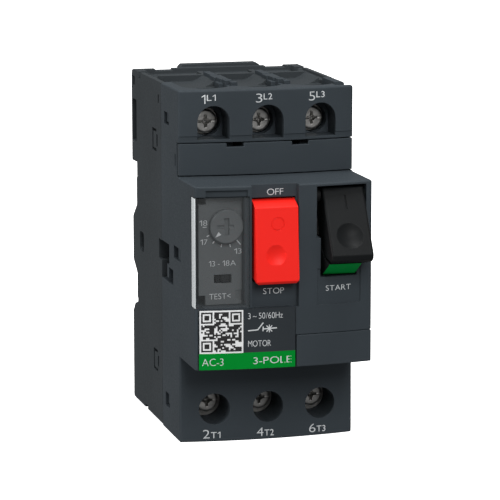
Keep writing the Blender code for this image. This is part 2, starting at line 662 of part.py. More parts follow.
def terminal_screw(name, pole, z):
    """Captive terminal screw with a combined cross and slot."""
    head = (SCREW_HEAD_Y, SCREW_HEAD_Y + SCREW_HEAD_H)
    screw = solid(name, "zinc_steel", rod("Y", (pole, z), SCREW_HEAD_R, head, 28),
                  rod("Y", (pole, z), SHANK_R, (head[1] - 0.2, SHANK_END_Y), 16))
    bite = (SCREW_HEAD_Y - 1.0, SCREW_HEAD_Y + 0.9)
    cut(screw, "slot", box((pole - 2.4, pole + 2.4), bite, (z - 0.45, z + 0.45)))
    cut(screw, "cross", box((pole - 0.45, pole + 0.45), (bite[0], bite[1] + 0.2), (z - 1.7, z + 1.7)))
    put_origin(screw, pole, 0.0, z)
    return screw


def terminal_clamp(name, pole, z):
    """Pressure plate under the screw head, with two bent lips."""
    clamp = solid(name, "zinc_steel",
                  box((pole - 4.4, pole + 4.4), (-37.7, -36.7), (z - 4.6, z + 4.6)),
                  box((pole - 4.5, pole - 3.7), (-37.6, -35.4), (z - 4.4, z + 4.4)),
                  box((pole + 3.7, pole + 4.5), (-37.6, -35.4), (z - 4.4, z + 4.4)))
    cut(clamp, "hole", rod("Y", (pole, z), 2.3, (-40.0, -34.0), 20))
    return clamp


def poles():
    """The current path of each of the three poles."""
    for number, pole in enumerate(POLES, start=1):
        terminal_screw(f"terminal_screw_l{number}", pole, TERMINAL_Z)
        terminal_screw(f"terminal_screw_t{number}", pole, -TERMINAL_Z)
        terminal_clamp(f"terminal_clamp_l{number}", pole, TERMINAL_Z)
        terminal_clamp(f"terminal_clamp_t{number}", pole, -TERMINAL_Z)
        line_bar(f"line_bar_{number}", pole)
        load_bar(f"load_bar_{number}", pole)
        moving_contact(f"moving_contact_{number}", pole)
        arc_chute(f"arc_chute_{number}", pole)
        magnet_coil(f"magnet_coil_{number}", pole)
        bimetal_strip(f"bimetal_strip_{number}", pole)


# --- Rail latch -----------------------------------------------------------------------
def din_latch():
    """Sprung slide that holds the lower flange of the rail."""
    latch = solid("din_latch", "inner_plastic", box((-7.0, 7.0), (0.8, 3.6), (-42.8, -18.0)),
                  box((-6.9, 6.9), (RAIL_LIP_Y, 4.9), (-21.5, -HOOK_REACH)))
    cut(latch, "spring_room", box((-2.8, 2.8), (-2.0, 8.0), (LATCH_PEG[0] - 0.6, LATCH_ROOM_TOP)))
    cut(latch, "tool_slot", box((-2.2, 2.2), (-2.0, 8.0), (-41.4, -39.4)))
    return latch


def main():
    """Build every part."""
    rear_base()
    front_housing()
    upper_blank_panel()
    aux_blank_cover()
    nameplate()
    dial_plate()
    setting_dial()
    test_slider()
    window_cover()
    stop_button()
    button_pin("stop_pin", STOP_PIVOT, (-9.3, 4.2))
    coil_spring("stop_spring", (-2.6, 6.0), (-58.3, -47.3), "Y", 5, 2.2, 0.6)
    start_button()
    start_skirt()
    button_pin("start_pin", START_PIVOT, (6.8, 21.5))
    coil_spring("start_spring", (15.2, 13.0), (-57.7, -47.3), "Y", 5, 2.2, 0.6)
    mechanism_frame()
    toggle_lever()
    button_pin("toggle_pin", TOGGLE_AXIS, (3.4, 12.4))
    drive_link()
    contact_carrier()
    trip_bar()
    poles()
    din_latch()
    coil_spring("latch_spring", (0.0, 2.2), (LATCH_PEG[1] + 0.1, LATCH_ROOM_TOP - 0.1), "Z", 4, 1.1, 0.5)


main()
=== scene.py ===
"""Looks of the motor protection breaker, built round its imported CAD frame.

Lengths are in millimetres in the row frame (X right, +Y back towards the rail, +Z up); the mesh
helpers turn them into metres. Each piece takes the place and size of the CAD node it stands for.
"""
import json
import math
import random

import bmesh
import bpy
from mathutils import Matrix, Vector

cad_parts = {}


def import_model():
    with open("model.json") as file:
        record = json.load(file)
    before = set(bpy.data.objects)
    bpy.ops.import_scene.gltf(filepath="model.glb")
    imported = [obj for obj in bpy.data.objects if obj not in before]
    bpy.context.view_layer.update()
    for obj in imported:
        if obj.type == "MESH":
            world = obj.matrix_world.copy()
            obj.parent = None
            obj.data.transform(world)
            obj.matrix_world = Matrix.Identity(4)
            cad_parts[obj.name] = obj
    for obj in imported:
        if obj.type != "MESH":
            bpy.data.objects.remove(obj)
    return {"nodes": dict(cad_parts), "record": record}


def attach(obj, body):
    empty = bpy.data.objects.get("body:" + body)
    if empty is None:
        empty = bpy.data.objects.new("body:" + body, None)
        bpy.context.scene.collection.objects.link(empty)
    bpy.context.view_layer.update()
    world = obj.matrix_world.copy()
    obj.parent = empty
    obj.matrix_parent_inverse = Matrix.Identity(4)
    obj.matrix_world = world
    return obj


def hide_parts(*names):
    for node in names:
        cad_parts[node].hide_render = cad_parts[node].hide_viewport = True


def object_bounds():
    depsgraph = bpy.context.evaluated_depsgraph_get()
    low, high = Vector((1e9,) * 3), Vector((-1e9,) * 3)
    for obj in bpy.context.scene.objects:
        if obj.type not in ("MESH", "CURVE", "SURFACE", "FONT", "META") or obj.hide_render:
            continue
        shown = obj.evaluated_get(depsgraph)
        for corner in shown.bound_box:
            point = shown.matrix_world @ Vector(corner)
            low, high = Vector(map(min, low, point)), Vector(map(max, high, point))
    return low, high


MM = 0.001

# --- Driving dimensions, as in the CAD ---------------------------------------------------
HALF_WIDTH = 22.5
HALF_HEIGHT = 44.5
FOOT_Y = 5.3
SPLIT_Y = -28.8
BLOCK_Y = -47.6            # front corners of the terminal blocks
MID_Y = -64.3              # front corners of the operating block
MID_TOP = 22.95
MID_BOTTOM = -22.5
CROWN = 2.0                # bow of the front faces over the full width
# Where the facets of the bowed fronts meet, kept clear of the edges of the openings.
FACETS = {
    BLOCK_Y: (-20.8, -19.0, -16.5, -15.1, -13.75, -12.4, -11.0, -8.4, -6.875, -5.3, -2.8, -1.5, 0.0,
              1.5, 2.8, 5.3, 6.875, 8.4, 11.0, 12.4, 13.75, 15.1, 16.5, 19.0, 20.8),
    MID_Y: (-21.2, -18.6, -16.9, -15.2, -13.5, -11.8, -10.5, -7.3, -5.6, -3.9, -2.2, -0.5, 1.1, 4.3, 5.7,
            6.9, 10.0, 11.6, 13.2, 14.8, 16.4, 17.6, 20.1),
}
POLES = (-13.75, 0.0, 13.75)
PARTITIONS = (-6.875, 6.875)     # middles of the walls between the poles
POCKET_HALF = 6.1
INNER_X = 19.85
BASE_BOTTOM = -44.05
BASE_TOP = 44.4
SEAT_HALF = 16.2
TERMINAL_Z = 35.7
HEAD_Y = -40.4             # face of the terminal screws
WELL_Z = 36.5
WELL_R = 4.0
WELL_FLOOR = 32.1
HOLE_Z = -36.1
HOLE_R = 3.95
ROOM_FRONT = -38.0
ENTRY_Z = 41.5
SCALLOP_Y = -39.0
PANEL_Z = (23.25, 31.2)
PANEL_T = 1.6
PANEL_SLOTS = ((-10.5, -6.2), (6.2, 10.5))
AUX_LEFT = 2.7
AUX_TOP = -14.5
LABEL_TOP = -7.4
WINDOW = (-9.2, -7.1, 20.1)      # right edge, bottom, top
FLANGE_X = -21.7
DIAL = (-14.2, 12.7)
DIAL_R = 4.25
PLATE_X = (-20.95, -10.05)
PLATE_Y = (-61.9, -60.9)
SLOT = (-17.1, -12.7, -1.5, 0.65)   # test slot in the scale plate: x0, x1, z0, z1
STOP_X = (-8.0, 2.85)
CHANNEL_X = (-8.6, 3.25)
CHANNEL_FLOOR = -64.2
STOP_PIVOT = (-61.3, 17.0)
START_X = (9.8, 20.5)
SKIRT_X = (9.7, 18.2)
START_PIVOT = (-61.5, 19.4)
START_PAD = 0.35           # depth of the field that says START
SEAM = 0.12                # visible joint between the two casings
LABEL_DEPTH = 0.25         # label film behind the bowed front
INK = 0.03                 # thickness of the printing
# Ends of the cutting tools, clear of the casing on every side.
FAR_X = 26.0
FAR_FRONT = -85.0
FAR_Z = 47.0
SHARP = math.radians(28)   # edges that turn more than this are rounded

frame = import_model()
cad_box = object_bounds()


# --- Outlines ----------------------------------------------------------------------------
def crown_y(corner_y, x):
    """Y of a bowed front face at x."""
    radius = (HALF_WIDTH ** 2 + CROWN ** 2) / (2 * CROWN)
    return corner_y - math.sqrt(radius ** 2 - x ** 2) + (radius - CROWN)


def arc(centre, radius, start, end, steps=12):
    """Points along an arc, angles in degrees."""
    angles = [math.radians(start + (end - start) * i / steps) for i in range(steps + 1)]
    return [(centre[0] + radius * math.cos(a), centre[1] + radius * math.sin(a)) for a in angles]


def rounded(points, radius=0.0, steps=4):
    """Outline with rounded corners; a point's third value is its own radius."""
    outline = []
    count = len(points)
    for i, point in enumerate(points):
        r = point[2] if len(point) > 2 else radius
        here = Vector(point[:2])
        back = Vector(points[i - 1][:2]) - here
        ahead = Vector(points[(i + 1) % count][:2]) - here
        turn = math.pi - back.angle(ahead)
        reach = min(r * math.tan(turn / 2), 0.48 * back.length, 0.48 * ahead.length)
        if r == 0.0 or turn < 0.02:
            outline.append(tuple(here))
            continue
        start, end = here + back.normalized() * reach, here + ahead.normalized() * reach
        for step in range(steps + 1):
            t = step / steps
            outline.append(tuple(start * (1 - t) ** 2 + here * 2 * t * (1 - t) + end * t ** 2))
    return outline


def rectangle(u, v):
    """Outline between limits."""
    return [(u[0], v[0]), (u[1], v[0]), (u[1], v[1]), (u[0], v[1])]


def inset(points, distance):
    """Outline moved inwards."""
    count = len(points)
    area = sum(points[i - 1][0] * points[i][1] - points[i][0] * points[i - 1][1] for i in range(count))
    side = 1 if area > 0 else -1
    moved = []
    for i in range(count):
        coming = (Vector(points[i]) - Vector(points[i - 1])).normalized()
        going = (Vector(points[(i + 1) % count]) - Vector(points[i])).normalized()
        n1, n2 = Vector((-coming.y, coming.x)) * side, Vector((-going.y, going.x)) * side
        moved.append(tuple(Vector(points[i]) + (n1 + n2) * distance / max(1 + n1.dot(n2), 0.3)))
    return moved


def front_line(corner_y, x, depth=0.0):
    """Points along a bowed front from x[1] to x[0]."""
    inner = [px for px in reversed(FACETS[corner_y]) if x[0] + 0.4 < px < x[1] - 0.4]
    return [(px, crown_y(corner_y, px) + depth) for px in (x[1], *inner, x[0])]


def bowed(corner_y, x, back_y, corner=0.0, depth=0.0):
    """Plan with a bowed front, a straight back and rounded front corners."""
    line = front_line(corner_y, x, depth)
    line[0], line[-1] = (*line[0], corner), (*line[-1], corner)
    return rounded([(x[0], back_y), (x[1], back_y)] + line)


def before(corner_y, x, depth=0.0):
    """Plan of the room in front of a bowed face, set back by depth."""
    return front_line(corner_y, x, depth) + [(x[0], FAR_FRONT), (x[1], FAR_FRONT)]


def bowed_sheet(corner_y, x, thickness, depth=0.0):
    """Plan of a bowed sheet."""
    line = front_line(corner_y, x, depth)
    return line + [(px, y + thickness) for px, y in reversed(line)]


# --- Mesh helpers ------------------------------------------------------------------------
# Where an outline's u and v and the station along its axis go.
PLACES = {
    "X": lambda u, v, s: (s, u, v),
    "Y": lambda u, v, s: (u, s, v),
    "Z": lambda u, v, s: (u, v, s),
}


def finished(bm):
    """The mesh of a bmesh, which is freed."""
    mesh = bpy.data.meshes.new("piece")
    bm.to_mesh(mesh)
    bm.free()
    return mesh


def loft(loops):
    """Closed mesh through a stack of loops with equal counts."""
    bm = bmesh.new()
    rings = [[bm.verts.new(Vector(p) * MM) for p in loop] for loop in loops]
    for low, high in zip(rings, rings[1:]):
        for i in range(len(low)):
            bm.faces.new((low[i - 1], low[i], high[i], high[i - 1]))
    bm.faces.new(rings[0][::-1])
    bm.faces.new(rings[-1])
    bmesh.ops.recalc_face_normals(bm, faces=bm.faces)
    return finished(bm)


def rim_rows(end, inwards, radius, steps=3):
    """Stations and insets of a rounded end, from its flat face inwards."""
    if not radius:
        return [(end, 0.0)]
    turns = [math.pi / 2 * i / steps for i in range(steps, -1, -1)]
    return [(end + inwards * radius * (1 - math.sin(a)), radius * (1 - math.cos(a))) for a in turns]


def prism(outline, axis, span, rim=(0.0, 0.0)):
    """An outline pushed along an axis, its two end edges rounded by rim."""
    stations = rim_rows(span[0], 1, rim[0]) + rim_rows(span[1], -1, rim[1])[::-1]
    place = PLACES[axis]
    return loft([[place(u, v, s) for u, v in (inset(outline, d) if d else outline)]
                 for s, d in stations])


def box(x, y, z):
    """A block between the limits on each axis."""
    return prism(rectangle(x, y), "Z", z)


def rod(axis, centre, radius, span, steps=32, rim=(0.0, 0.0)):
    """A cylinder along an axis."""
    return prism(arc(centre, radius, 0, 360, steps)[:-1], axis, span, rim)


def turned(axis, centre, profile, steps=40):
    """A solid of revolution: profile holds (radius, station) pairs."""
    place = PLACES[axis]
    return loft([[place(u, v, s) for u, v in arc(centre, max(r, 0.01), 0, 360, steps)[:-1]]
                 for r, s in profile])


def hoop(axis, centre, radii, span, steps=40):
    """A ring of rectangular section."""
    place = PLACES[axis]
    bm = bmesh.new()
    section = rectangle(radii, span)
    rings = [[bm.verts.new(Vector(place(u, v, s)) * MM) for u, v in arc(centre, r, 0, 360, steps)[:-1]]
             for r, s in section]
    for low, high in zip(rings, rings[1:] + rings[:1]):
        for i in range(steps):
            bm.faces.new((low[i - 1], low[i], high[i], high[i - 1]))
    bmesh.ops.recalc_face_normals(bm, faces=bm.faces)
    return finished(bm)


def ball(centre, radius, steps=40):
    """A sphere."""
    bm = bmesh.new()
    bmesh.ops.create_uvsphere(bm, u_segments=steps, v_segments=steps // 2, radius=radius * MM,
                              matrix=Matrix.Translation(Vector(centre) * MM))
    return finished(bm)


def merged(meshes):
    """One mesh out of several."""
    bm = bmesh.new()
    for mesh in meshes:
        bm.from_mesh(mesh)
    return finished(bm)


def make(name, mesh):
    """Link a mesh as an object."""
    obj = bpy.data.objects.new(name, mesh)
    bpy.context.scene.collection.objects.link(obj)
    return obj


def apply_modifiers(obj):
    """Turn an object's modifiers into its mesh."""
    graph = bpy.context.evaluated_depsgraph_get()
    mesh = bpy.data.meshes.new_from_object(obj.evaluated_get(graph))
    obj.modifiers.clear()
    obj.data = mesh


def combine(obj, operation, meshes):
    """Boolean with closed pieces that don't touch each other."""
    tool = make("tool", merged(meshes))
    step = obj.modifiers.new("step", "BOOLEAN")
    step.operation = operation
    step.solver = "EXACT"
    step.object = tool
    apply_modifiers(obj)
    bpy.data.objects.remove(tool, do_unlink=True)
    return obj


def cut(obj, *meshes):
    """Take pieces away."""
    return combine(obj, "DIFFERENCE", meshes)


def add(obj, *meshes):
    """Join pieces on, one after another."""
    for mesh in meshes:
        combine(obj, "UNION", [mesh])
    return obj


def soften(obj, width):
    """Tidy a boolean result, round its sharp edges and shade it smooth."""
    closeness = 0.012 * MM
    bm = bmesh.new()
    bm.from_mesh(obj.data)
    bmesh.ops.remove_doubles(bm, verts=bm.verts, dist=closeness)
    bmesh.ops.dissolve_degenerate(bm, edges=bm.edges, dist=closeness)
    bmesh.ops.dissolve_limit(bm, angle_limit=math.radians(0.3), verts=bm.verts, edges=bm.edges)
    # A sharp edge too short for the rounding at its two ends closes up.
    short = [edge for edge in bm.edges
             if edge.calc_length() < 1.8 * width * MM and edge.calc_face_angle(0.0) > SHARP]
    bmesh.ops.collapse(bm, edges=short)
    for face in bm.faces:
        face.smooth = True
    bm.to_mesh(obj.data)
    bm.free()
    if not width:
        obj.data.set_sharp_from_angle(angle=SHARP)
        return obj
    bevel = obj.modifiers.new("edges", "BEVEL")
    bevel.width = width * MM
    bevel.segments = 2
    bevel.limit_method = "ANGLE"
    bevel.angle_limit = SHARP
    bevel.use_clamp_overlap = False
    bevel.loop_slide = False
    weigh = obj.modifiers.new("normals", "WEIGHTED_NORMAL")
    weigh.keep_sharp = False
    apply_modifiers(obj)
    # Rounding can push a corner out by a hair; the piece stays inside the CAD's box.
    for vertex in obj.data.vertices:
        for axis in range(3):
            vertex.co[axis] = min(max(vertex.co[axis], cad_box[0][axis]), cad_box[1][axis])
    return obj


def at_poles(half, y, z):
    """The same block in each pole."""
    return [box((pole - half, pole + half), y, z) for pole in POLES]


def both_sides(x, y, z):
    """The same block on the right and on the left."""
    return [box(x, y, z), box((-x[1], -x[0]), y, z)]


# --- Materials -----------------------------------------------------------------------------
def new_material(name):
    """An empty node material with its Principled shader."""
    material = bpy.data.materials.new(name)
    material.use_nodes = True
    tree = material.node_tree
    return material, tree, tree.nodes["Principled BSDF"]


def noise(tree, scale, detail=2.0, stretch=None):
    """Noise in object space; scale is in cells per metre."""
    place = tree.nodes.new("ShaderNodeTexCoord")
    source = place.outputs["Object"]
    if stretch:
        mapping = tree.nodes.new("ShaderNodeMapping")
        mapping.inputs["Scale"].default_value = stretch
        tree.links.new(source, mapping.inputs["Vector"])
        source = mapping.outputs["Vector"]
    texture = tree.nodes.new("ShaderNodeTexNoise")
    texture.inputs["Scale"].default_value = scale
    texture.inputs["Detail"].default_value = detail
    tree.links.new(source, texture.inputs["Vector"])
    return texture.outputs["Fac"]


def ramp(tree, source, low, high, at=(0.3, 0.7)):
    """Two colours, or two greys, spread over a noise."""
    node = tree.nodes.new("ShaderNodeValToRGB")
    stops = node.color_ramp.elements
    for stop, place, value in zip(stops, at, (low, high)):
        stop.position = place
        stop.color = (*value, 1.0) if isinstance(value, tuple) else (value, value, value, 1.0)
    tree.links.new(source, node.inputs["Fac"])
    return node.outputs["Color"]


def shaded(colour, factor):
    """A colour made lighter or darker."""
    return tuple(min(1.0, c * factor) for c in colour)


def relief(tree, shader, height, strength, depth):
    """Fine bump from a noise, depth in millimetres."""
    bump = tree.nodes.new("ShaderNodeBump")
    bump.inputs["Strength"].default_value = strength
    bump.inputs["Distance"].default_value = depth * MM
    tree.links.new(height, bump.inputs["Height"])
    tree.links.new(bump.outputs["Normal"], shader.inputs["Normal"])


def plastic(name, colour, roughness=0.5, grain=2600.0, bump=0.12, spread=0.07, specular=0.4):
    """Moulded plastic: spark-eroded grain, faint flow marks and uneven gloss."""
    material, tree, shader = new_material(name)
    shader.inputs["Specular IOR Level"].default_value = specular
    flow = noise(tree, 55.0, 3.0)
    tree.links.new(ramp(tree, flow, shaded(colour, 1 - spread), shaded(colour, 1 + spread)),
                   shader.inputs["Base Color"])
    fine = noise(tree, grain, 3.0)
    tree.links.new(ramp(tree, fine, roughness - 0.07, roughness + 0.07), shader.inputs["Roughness"])
    relief(tree, shader, fine, bump, 0.05)
    return material


def metal(name, colour, roughness):
    """Plated or drawn metal: fine streaks with duller patches."""
    material, tree, shader = new_material(name)
    shader.inputs["Metallic"].default_value = 1.0
    patches = noise(tree, 700.0, 4.0)
    tree.links.new(ramp(tree, patches, shaded(colour, 0.72), shaded(colour, 1.12)),
                   shader.inputs["Base Color"])
    streaks = noise(tree, 1500.0, 3.0, stretch=(1.0, 1.0, 12.0))
    tree.links.new(ramp(tree, streaks, roughness - 0.08, roughness + 0.14), shader.inputs["Roughness"])
    relief(tree, shader, streaks, 0.15, 0.03)
    return material


def clear_plastic(name, colour, alpha, roughness):
    """Clear moulding: thin sheet seen through, with soft reflections."""
    material, tree, shader = new_material(name)
    shader.inputs["Alpha"].default_value = alpha
    shader.inputs["Specular IOR Level"].default_value = 0.08
    haze = noise(tree, 260.0, 2.0)
    tree.links.new(ramp(tree, haze, shaded(colour, 0.97), shaded(colour, 1.03)), shader.inputs["Base Color"])
    tree.links.new(ramp(tree, haze, roughness, roughness + 0.05), shader.inputs["Roughness"])
    return material


LOOKS = {
    "case_grey": plastic("case_grey", (0.0285, 0.0335, 0.037), 0.65, specular=0.08),
    "case_front": plastic("case_front", (0.0295, 0.0365, 0.0425), 0.6, specular=0.08),
    "inner_plastic": plastic("inner_plastic", (0.006, 0.0065, 0.007), 0.6, specular=0.1),
    "start_black": plastic("start_black", (0.0052, 0.0059, 0.0063), 0.5, bump=0.08, specular=0.09),
    "skirt_green": plastic("skirt_green", (0.0003, 0.24, 0.040), 0.5, bump=0.08, specular=0.05),
    "stop_red": plastic("stop_red", (0.70, 0.013, 0.008), 0.45, bump=0.06, spread=0.02, specular=0.15),
    "clear_cover": clear_plastic("clear_cover", (0.094, 0.101, 0.104), 0.12, 0.45),
    # Pale colour for the window's outer flange face: a painted highlight where the clear edge catches the
    # light.
    "clear_edge_painted_highlight": plastic("clear_edge_painted_highlight", (0.50, 0.53, 0.54), 0.3, bump=0.02, spread=0.04),
    "scale_plate": plastic("scale_plate", (0.094, 0.102, 0.106), 0.6, grain=1800.0, bump=0.02, spread=0.04,
                           specular=0.1),
    "label_film": plastic("label_film", (0.019, 0.0235, 0.0275), 0.5, bump=0.03, specular=0.15),
    "label_green": plastic("label_green", (0.0003, 0.185, 0.0200), 0.5, bump=0.03, specular=0.03),
    "ink_white": plastic("ink_white", (0.47, 0.49, 0.50), 0.6, grain=5000.0, bump=0.03),
    "code_white": plastic("code_white", (0.62, 0.63, 0.63), 0.6, grain=5000.0, bump=0.03),
    "code_black": plastic("code_black", (0.006, 0.006, 0.006), 0.5, grain=5000.0, bump=0.03),
    "zinc_steel": metal("zinc_steel", (0.43, 0.425, 0.41), 0.36),
    "spring_steel": metal("spring_steel", (0.42, 0.42, 0.42), 0.30),
    "copper": metal("copper", (0.72, 0.37, 0.20), 0.30),
    "coil_winding": metal("coil_winding", (0.55, 0.23, 0.11), 0.38),
    "arc_steel": metal("arc_steel", (0.25, 0.25, 0.26), 0.42),
}


def paint(obj, look):
    """Give a piece one material."""
    obj.data.materials.clear()
    obj.data.materials.append(LOOKS[look])
    return obj


def place(obj, body, look, *nodes, slot=None):
    """Paint a piece, set it on its body and hide the CAD nodes it stands for."""
    paint(obj, look)
    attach(obj, body)
    slot or look
    if nodes:
        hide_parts(*nodes)
    return obj


# --- Front housing --------------------------------------------------------------------------
def entry_plan(pole):
    """Plan of a wire entry: square at the back, round at the front."""
    low, high = pole - POCKET_HALF, pole + POCKET_HALF
    return [(low, SPLIT_Y + 1.0)] + arc((pole, SCALLOP_Y), POCKET_HALF, 180, 360, 24) + \
        [(high, SPLIT_Y + 1.0)]


def front_housing():
    """Terminal blocks and operating block with their openings, wells and parting lines."""
    full = (-HALF_WIDTH, HALF_WIDTH)
    housing = make("front_housing_shell", prism(
        bowed(BLOCK_Y, full, SPLIT_Y - SEAM / 2, 0.7), "Z", (-HALF_HEIGHT, HALF_HEIGHT), (0.35, 0.6)))
    add(housing, prism(bowed(MID_Y, full, -45.0, 0.85), "Z", (MID_BOTTOM, MID_TOP), (0.2, 0.45)))
    terminal_openings(housing)
    operating_openings(housing)
    side_details(housing)
    return place(soften(housing, 0.09), "casing", "case_front", "front_housing")


def terminal_openings(housing):
    """Panel recess, wire entries, terminal rooms and screwdriver holes of both terminal blocks."""
    wide = (-FAR_X, FAR_X)
    cut(housing, prism(before(BLOCK_Y, wide, PANEL_T + 0.3), "Z", (MID_TOP + 0.02, PANEL_Z[1] + 0.25)))
    cut(housing, prism(before(BLOCK_Y, (-26.1, 26.1), 0.22), "Z", (PANEL_Z[1] - 1.0, 33.0)))
    cut(housing, *[box(x, (-50.0, -39.0), (27.6, 31.35)) for x in PANEL_SLOTS])
    cut(housing, box((-INNER_X, INNER_X), (-50.0, SPLIT_Y + 1.0), (-20.8, 21.2)))
    cut(housing, *[prism(entry_plan(pole), "Z", (ENTRY_Z, FAR_Z)) for pole in POLES])
    cut(housing, *[prism(entry_plan(pole), "Z", (-FAR_Z, -ENTRY_Z)) for pole in POLES])
    cut(housing, *[box((x - 1.25, x + 1.6), (-41.4, SPLIT_Y + 1.1), (42.3, 46.0)) for x in PARTITIONS])
    cut(housing, box((18.4, 24.0), (-46.6, -39.9), (43.6, 46.0)))
    room = (ROOM_FRONT, SPLIT_Y + 1.2)
    cut(housing,
        *at_poles(POCKET_HALF, room, (24.6, ENTRY_Z + 0.2)),
        *at_poles(POCKET_HALF, room, (-ENTRY_Z - 0.2, -24.2)))
    for pole in POLES:
        arch = arc((pole, WELL_Z), WELL_R, 0, 180, 24)
        outline = [(pole + WELL_R, WELL_FLOOR)] + arch + [(pole - WELL_R, WELL_FLOOR)]
        cut(housing, prism(outline, "Y", (-54.0, HEAD_Y - 1.2)))
    inner_end = ROOM_FRONT + 0.3
    cut(housing, *[rod("Y", (pole, HOLE_Z), HOLE_R, (-52.0, inner_end), 48) for pole in POLES])
    cut(housing, *[rod("Y", (pole, TERMINAL_Z), 3.5, (-41.7, inner_end), 36) for pole in POLES])


def operating_openings(housing):
    """Recesses of the covers, the window and the push-buttons in the operating block."""
    cut(housing, prism(before(MID_Y, (2.4, FAR_X), 1.9), "Z", (-24.0, AUX_TOP + 0.12)))
    cut(housing, prism(before(MID_Y, (-21.8, 2.55), 0.6), "Z", (-24.0, LABEL_TOP + 0.15)))
    seat = (WINDOW[1] - 0.2, WINDOW[2] + 0.2)
    cut(housing, prism(before(MID_Y, (-FAR_X, -9.0), 1.4), "Z", seat))
    cut(housing, box((-FAR_X, -20.4), (-72.0, -60.4), (seat[0] + 0.01, seat[1] - 0.01)))
    cut(housing, box((PLATE_X[0] - 0.05, PLATE_X[1] + 0.05), (-72.0, -49.0), (-6.9, 19.9)))
    cut(housing, box(CHANNEL_X, (FAR_FRONT, CHANNEL_FLOOR), (-7.4, 30.0)))
    cut(housing, box((STOP_X[0] - 0.05, STOP_X[1] + 0.05), (-66.0, -49.0), (-1.1, 19.7)))
    cut(housing, prism(start_opening(), "Y", (-80.0, -49.0)))
    cut(housing, prism(before(MID_Y, (8.0, 19.4), START_PAD), "Z", (-7.25, 1.7)))
    cut(housing, prism(before(MID_Y, (-19.8, -9.6), 0.7), "Z", (20.2, 21.9)))


def start_opening():
    """Front outline of the opening of the START button."""
    return [(8.9, -0.5), (18.5, -0.5), (18.5, 2.4), (20.9, 2.4), (20.9, 22.15), (7.85, 22.15),
            (7.85, 9.4), (8.9, 9.4)]


def side_details(housing):
    """Vents, snap windows and the lever window in both side walls."""
    deep = (20.9, 24.0)
    cut(housing, *both_sides(deep, (-37.4, -32.3), (34.5, 37.6)))
    cut(housing, *both_sides(deep, (-36.6, -32.0), (-38.2, -34.6)))
    cut(housing, *both_sides(deep, (-44.5, -43.6), (25.3, 28.3)))
    cut(housing, *both_sides(deep, (-49.4, -42.0), (1.8, 5.0)))
    for y, z in (((-36.4, -33.0), (35.0, 38.0)), ((-35.6, -33.0), (-37.6, -35.2)),
                 ((-46.8, -44.6), (1.6, 5.2))):
        add(housing, *both_sides((20.8, 21.9), y, z))
    lever = [(-28.0, 4.2), (-37.0, 4.2), (-37.0, -0.9), (-34.8, -0.9), (-34.8, -4.4), (-36.6, -4.4),
             (-36.6, -1.6), (-41.2, -1.6), (-41.2, -5.4), (-28.0, -5.4)]
    for x in ((-24.0, -18.0), (18.0, 24.0)):
        cut(housing, prism(lever, "X", x))


# Blocks on each partition: X from its middle, Y, and the top.
POSTS = (
    ((0.4, 2.0), (-38.2, -36.1), 45.05),
    ((-0.3, 1.0), (-36.3, -34.6), 44.0),
    ((-0.4, 1.7), (-34.8, -32.1), 45.1),
    ((-0.9, 1.3), (-32.3, -27.4), 45.2),
    ((-1.3, 1.6), (-27.6, -22.4), 45.1),
    ((-1.0, 0.8), (-22.6, -14.4), 45.2),
    ((-1.7, -0.3), (-33.4, -29.2), 44.3),
    ((-0.5, 1.1), (-41.0, -38.0), 44.1),
)


def housing_posts():
    """Snap posts and guide blocks that stand on the partitions between the wire entries."""
    blocks = [box((middle + x[0], middle + x[1]), y, (41.0, top))
              for middle in PARTITIONS for x, y, top in POSTS]
    posts = make("partition_posts", merged(blocks))
    return place(soften(posts, 0.14), "casing", "case_front")


# --- Rear base --------------------------------------------------------------------------------
def base_profile():
    """Side outline (Y, Z) of the base: flat front, feet, and the recess that sits on the rail."""
    front = SPLIT_Y + SEAM / 2
    return rounded(
        [(front, BASE_BOTTOM), (FOOT_Y, BASE_BOTTOM, 0.8), (FOOT_Y, -20.4, 0.6), (3.0, -18.2),
         (-0.5, -17.2, 0.3), (-0.5, -SEAT_HALF), (0.0, -SEAT_HALF), (0.0, SEAT_HALF),
         (-0.5, SEAT_HALF), (-0.5, 20.3, 0.3), (FOOT_Y, 20.0, 0.6), (FOOT_Y, BASE_TOP, 2.0),
         (front, BASE_TOP)])


def rear_base():
    """Moulded base: rail recess, chambers, top gutters and snap windows."""
    cheek = rounded([(-2.0, -9.8), (0.0, -9.8, 0.5), (5.0, -6.5, 1.2), (5.0, 5.2, 1.2), (0.0, 9.1, 0.5),
                     (-2.0, 9.1)])
    raised = rounded([(-10.2, 43.0), (12.2, 43.0), (12.2, 44.2, 0.3), (10.6, 45.35, 0.4),
                      (-9.4, 45.35, 0.5), (-10.2, 44.6, 0.3)])
    base = make("rear_base_shell", prism(base_profile(), "X", (-HALF_WIDTH, HALF_WIDTH)))
    add(base, prism(cheek, "X", (-22.45, -19.5)), prism(cheek, "X", (19.5, 22.45)),
        box((-15.0, 15.0), (1.6, 5.0), (16.5, 21.0)), prism(raised, "Y", (2.0, 5.25)))
    base_chambers(base)
    base_gutters(base)
    base_side_details(base)
    return place(soften(base, 0.12), "casing", "case_grey", "rear_base")


def base_chambers(base):
    """Rooms of the three poles, with a rounded right side to each upper chamber."""
    front = SPLIT_Y - 1.0
    cut(base, *at_poles(POCKET_HALF, (front, -3.0), (-23.2, 23.4)))
    cut(base, *at_poles(POCKET_HALF, (front, -6.0), (25.0, 39.2)),
        *at_poles(POCKET_HALF, (front, -6.0), (-39.0, -24.8)))
    cut(base, *at_poles(POCKET_HALF, (front, -14.2), (42.7, FAR_Z)),
        *at_poles(POCKET_HALF, (front, -20.4), (-FAR_Z, -38.0)))
    for pole in POLES:
        edge = pole + POCKET_HALF + 0.1
        fillet = [(edge, 42.6), (edge, 44.3), (edge - 0.8, 44.0), (edge - 1.7, 43.3), (edge - 3.4, 42.6)]
        add(base, prism(fillet, "Y", (-27.0, -14.1)))


